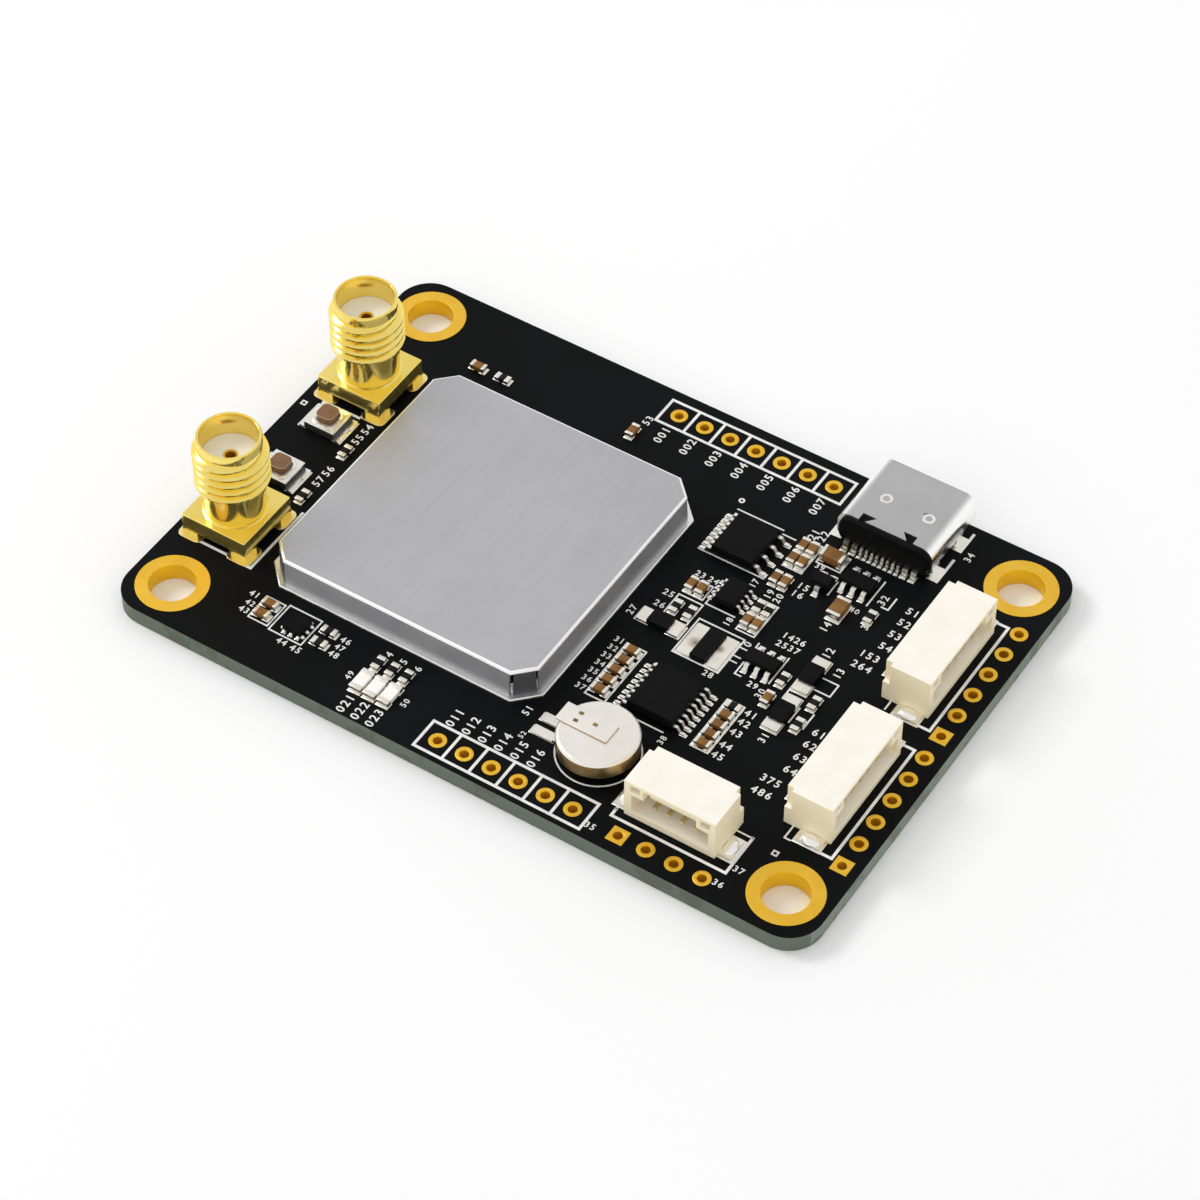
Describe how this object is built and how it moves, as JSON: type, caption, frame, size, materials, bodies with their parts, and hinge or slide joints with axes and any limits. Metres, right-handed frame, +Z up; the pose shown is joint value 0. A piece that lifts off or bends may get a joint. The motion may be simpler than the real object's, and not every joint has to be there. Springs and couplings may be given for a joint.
{
  "type": "gps module",
  "caption": "Black circuit board with a shielded satellite receiver, upright threaded antenna jacks, a USB socket, wire sockets, a coin cell and sprung push switches.",
  "frame": {"origin": "middle of the four mounting holes, on the underside of the board", "axes": "+X along the board from the antenna jacks to the wire sockets, +Y towards the USB socket, +Z up from the board"},
  "size_m": [0.066, 0.0452, 0.0121],
  "materials": {
    "board_mask": "satin black solder mask over glass laminate",
    "gold_plate": "gold over plated copper",
    "tin": "bright tin",
    "can_frame": "bright tinned sheet",
    "can_lid": "brushed sheet",
    "black_resin": "moulded resin",
    "capacitor_ceramic": "fired ceramic",
    "resistor_glaze": "glazed top",
    "jack_gold": "polished gold plating",
    "white_insulator": "turned plastic",
    "switch_resin": "moulded resin",
    "switch_steel": "bright sheet",
    "brown_button": "moulded, slightly glossy",
    "usb_steel": "satin drawn sheet",
    "contact_gold": "gold flash",
    "cream_resin": "moulded resin",
    "cell_steel": "satin can",
    "lamp_lens": "clear resin over white"
  },
  "bodies": {
    "board": {"circuit_board": "board_mask", "mounting_hole_plating": "gold_plate", "header_hole_plating": "gold_plate", "solder_pads": "tin", "shield_frame": "can_frame", "shield_lid": "can_lid", "receiver_processor": "black_resin", "radio_front_ends": "black_resin", "reference_oscillator": "can_frame", "band_filters": "capacitor_ceramic", "flash_memory": "black_resin", "front_jack_body": "jack_gold", "front_jack_insulator": "white_insulator", "front_jack_contact": "jack_gold", "rear_jack_body": "jack_gold", "rear_jack_insulator": "white_insulator", "rear_jack_contact": "jack_gold", "front_switch_base": "switch_resin", "front_switch_cover": "switch_steel", "front_switch_dome": "switch_steel", "rear_switch_base": "switch_resin", "rear_switch_cover": "switch_steel", "rear_switch_dome": "switch_steel", "switch_terminals": "tin", "usb_shell": "usb_steel", "usb_housing": "black_resin", "usb_contacts": "contact_gold", "rear_port_housing": "cream_resin", "rear_port_contacts": "contact_gold", "rear_port_tabs": "tin", "front_port_housing": "cream_resin", "front_port_contacts": "contact_gold", "front_port_tabs": "tin", "corner_port_housing": "cream_resin", "corner_port_contacts": "contact_gold", "corner_port_tabs": "tin", "coin_cell": "cell_steel", "cell_top_tab": "cell_steel", "cell_bottom_tab": "cell_steel", "line_driver_body": "black_resin", "line_driver_leads": "tin", "bus_buffer_body": "black_resin", "bus_buffer_leads": "tin", "serial_converter_body": "black_resin", "serial_converter_leads": "tin", "buck_regulator_body": "black_resin", "linear_regulator_body": "black_resin", "transistor_body": "black_resin", "small_package_leads": "tin", "logic_chip": "black_resin", "capacitor_bodies": "capacitor_ceramic", "resistor_bodies": "resistor_glaze", "diode_bodies": "black_resin", "inductor_body": "black_resin", "lamp_bodies": "lamp_lens", "chip_end_caps": "tin"},
    "front_push": {"front_button": "brown_button"},
    "rear_push": {"rear_button": "brown_button"}
  },
  "joints": [
    {"name": "front_button_press", "type": "slide", "parent": "board", "child": "front_push", "axis": [0, 0, -1], "range_m": [0, 0.0002], "stiffness_N_per_m": 4000, "springref_m": -0.0001},
    {"name": "rear_button_press", "type": "slide", "parent": "board", "child": "rear_push", "axis": [0, 0, -1], "range_m": [0, 0.0002], "stiffness_N_per_m": 4000, "springref_m": -0.0001}
  ]
}
